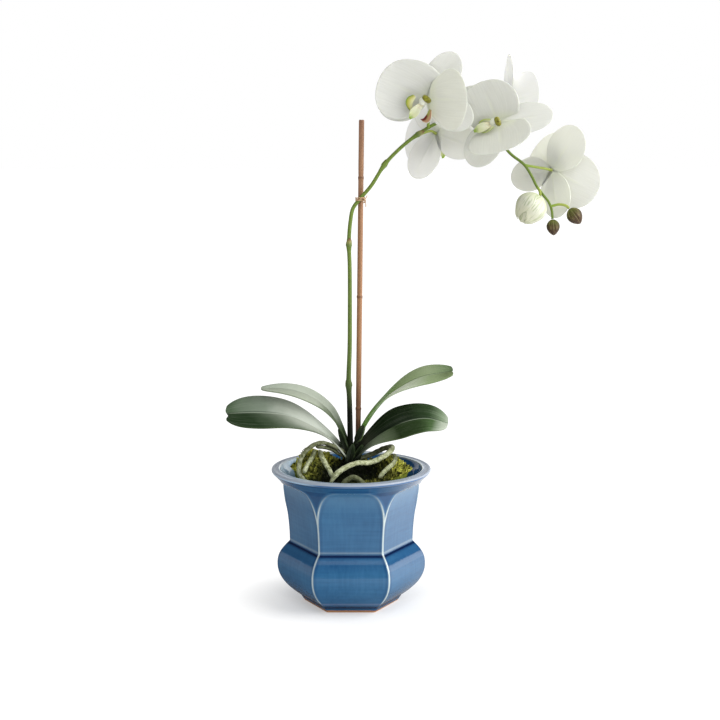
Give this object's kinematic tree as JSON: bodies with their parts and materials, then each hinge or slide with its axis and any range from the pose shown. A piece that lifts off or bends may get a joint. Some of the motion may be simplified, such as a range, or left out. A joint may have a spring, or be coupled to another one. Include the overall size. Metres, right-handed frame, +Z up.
{
  "type": "ceramic planter with a removable plant insert",
  "caption": "Six-sided glazed planter with a bellied base and flared round rim, holding a lift-out liner with moss, roots, leaves and an arching flower stem.",
  "frame": {"origin": "centre of the planter's flat foot, on the surface that it stands on", "axes": "+Z up along the planter's axis, -Y towards the viewer through the middle of a flat side, +X the way the flower stem arches"},
  "size_m": [0.3931, 0.1915, 0.5822],
  "materials": {
    "glazed_stoneware": "glossy blue glaze that breaks pale on the edges, foot left bare",
    "liner_plastic": "matte black",
    "foam": "matte, open-celled",
    "moss": "matte, fibrous",
    "crown": "matte, near black-green",
    "root": "matte, mottled grey-green",
    "leaf": "soft sheen",
    "stem": "soft sheen",
    "cane": "stained, satin",
    "raffia": "matte fibre",
    "stalk": "soft sheen",
    "petal": "matte, thin, lets light through",
    "column": "soft sheen",
    "lip": "soft sheen",
    "opening_bud": "matte, veined",
    "bud": "soft sheen"
  },
  "bodies": {
    "planter": {"planter": "glazed_stoneware"},
    "drop_in": {"liner_pot": "liner_plastic", "foam_plug": "foam", "moss": "moss", "crown": "crown", "root_left_arch": "root", "root_left_inner": "root", "root_left_prop": "root", "root_left_drop": "root", "root_right_loop": "root", "root_right_drop": "root", "root_front_low": "root", "leaf_lower_left": "leaf", "leaf_upper_left": "leaf", "leaf_upper_right": "leaf", "leaf_lower_right": "leaf", "leaf_young": "leaf", "flower_stem": "stem", "bamboo_stake": "cane", "stake_tie": "raffia", "flower_1_pedicel": "stalk", "flower_1_sepals": "petal", "flower_1_petals": "petal", "flower_1_column": "column", "flower_1_lip": "lip", "flower_2_pedicel": "stalk", "flower_2_sepals": "petal", "flower_2_petals": "petal", "flower_2_column": "column", "flower_2_lip": "lip", "flower_3_pedicel": "stalk", "flower_3_sepals": "petal", "flower_3_petals": "petal", "flower_3_column": "column", "flower_3_lip": "lip", "flower_4_pedicel": "stalk", "flower_4_sepals": "petal", "flower_4_petals": "petal", "flower_4_column": "column", "flower_4_lip": "lip", "flower_5_pedicel": "stalk", "flower_5_sepals": "petal", "flower_5_petals": "petal", "flower_5_column": "column", "flower_5_lip": "lip", "opening_bud_stalk": "stalk", "opening_bud": "opening_bud", "small_bud_stalk": "stalk", "small_bud": "bud", "last_bud": "bud"}
  },
  "joints": [
    {"name": "drop_in_lift", "type": "slide", "parent": "planter", "child": "drop_in", "axis": [0, 0, 1], "range_m": [0, 0.15]}
  ]
}
